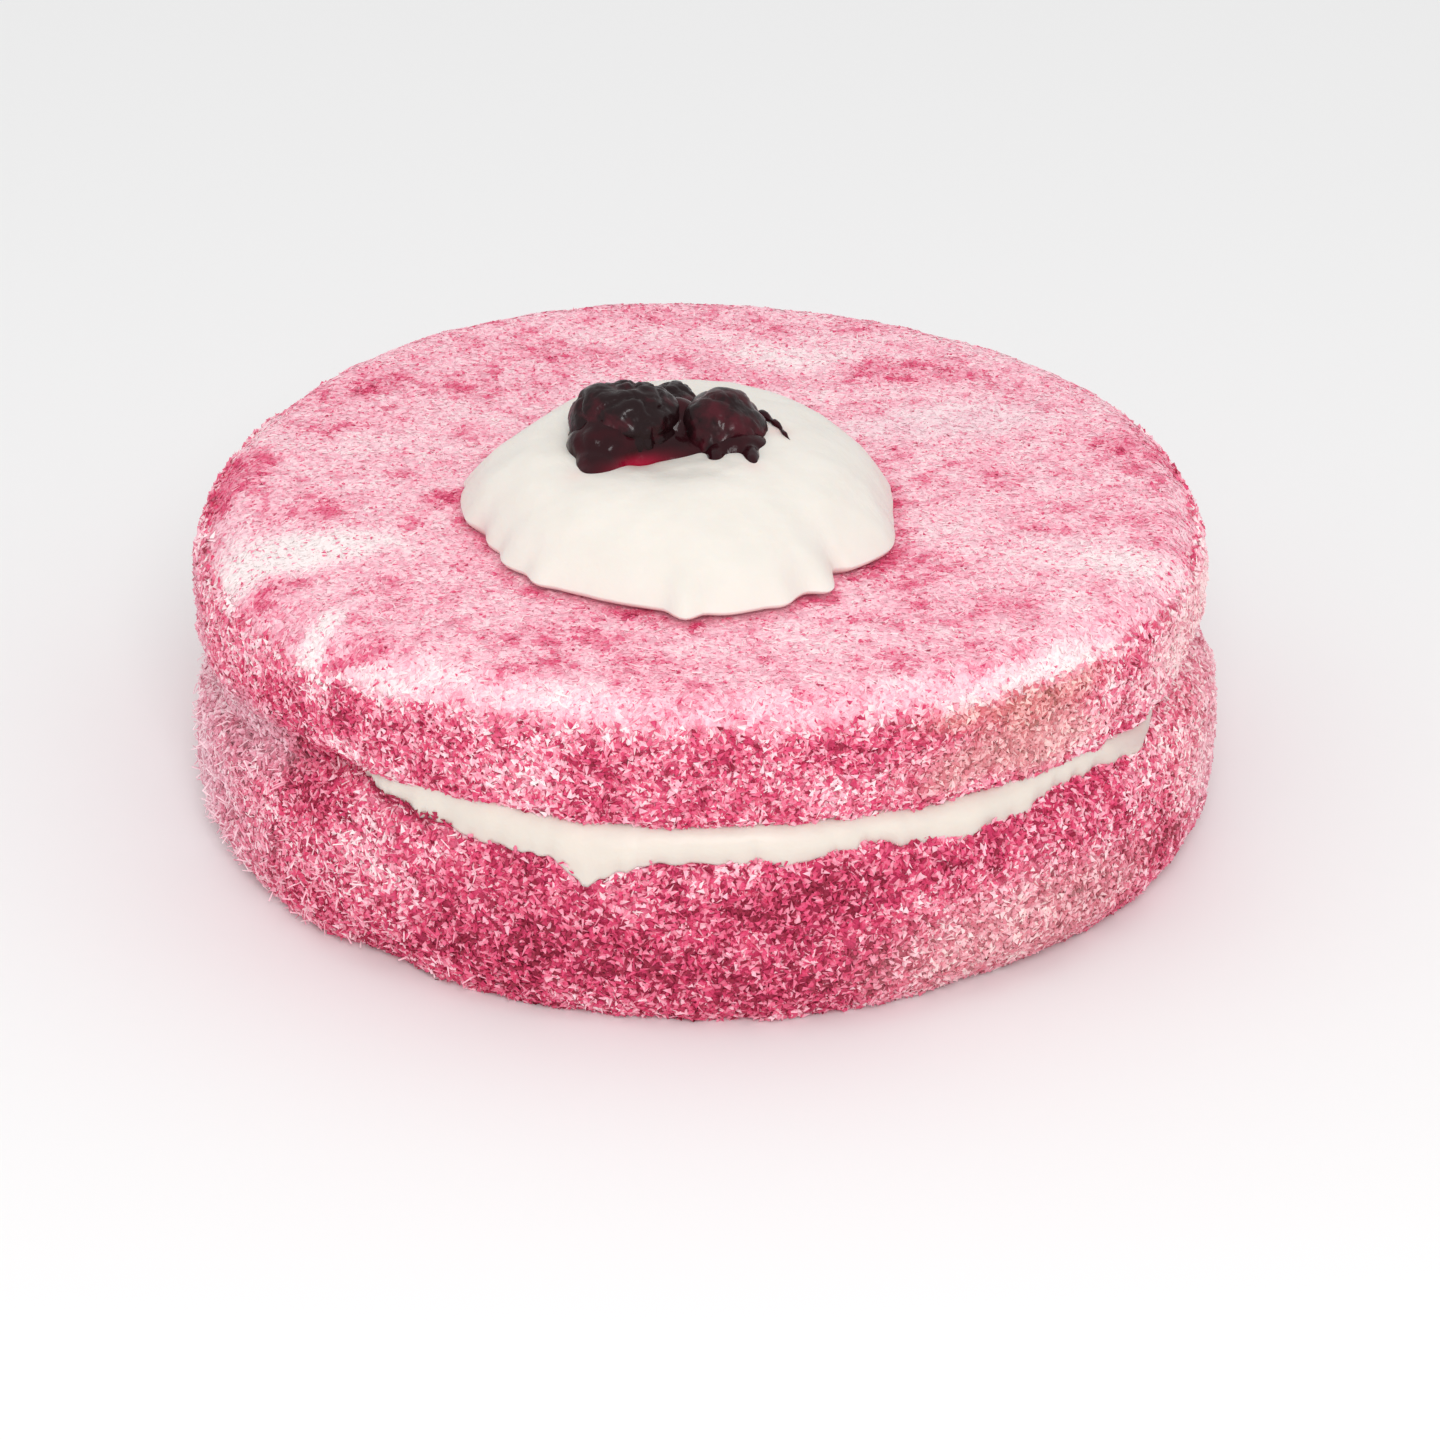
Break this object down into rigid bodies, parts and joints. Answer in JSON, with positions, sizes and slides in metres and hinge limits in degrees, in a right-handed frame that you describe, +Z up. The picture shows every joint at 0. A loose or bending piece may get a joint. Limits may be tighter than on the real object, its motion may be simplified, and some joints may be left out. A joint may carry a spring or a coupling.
{
  "type": "raspberry snowball cake",
  "caption": "Round cake of two coconut-coated sponge layers with cream showing along the seam, and a dollop of cream topped with dark berries in jam.",
  "frame": {"origin": "on the underside, at the cake's upright axis, which is within 1.5 mm of the middle of the bounding box", "axes": "+Z up out of the top; -Y towards the side where most of the cream filling shows, the front"},
  "size_m": [0.2067, 0.207, 0.0913],
  "materials": {
    "coconut_coat": null,
    "whipped_cream": null,
    "berry_skin": null,
    "berry_jam": null
  },
  "bodies": {
    "root": {"lower_layer": "coconut_coat", "upper_layer": "coconut_coat", "cream_filling": "whipped_cream", "cream_dollop": "whipped_cream", "berry_left": "berry_skin", "berry_right": "berry_skin", "berry_back": "berry_skin", "jam": "berry_jam"}
  },
  "joints": []
}
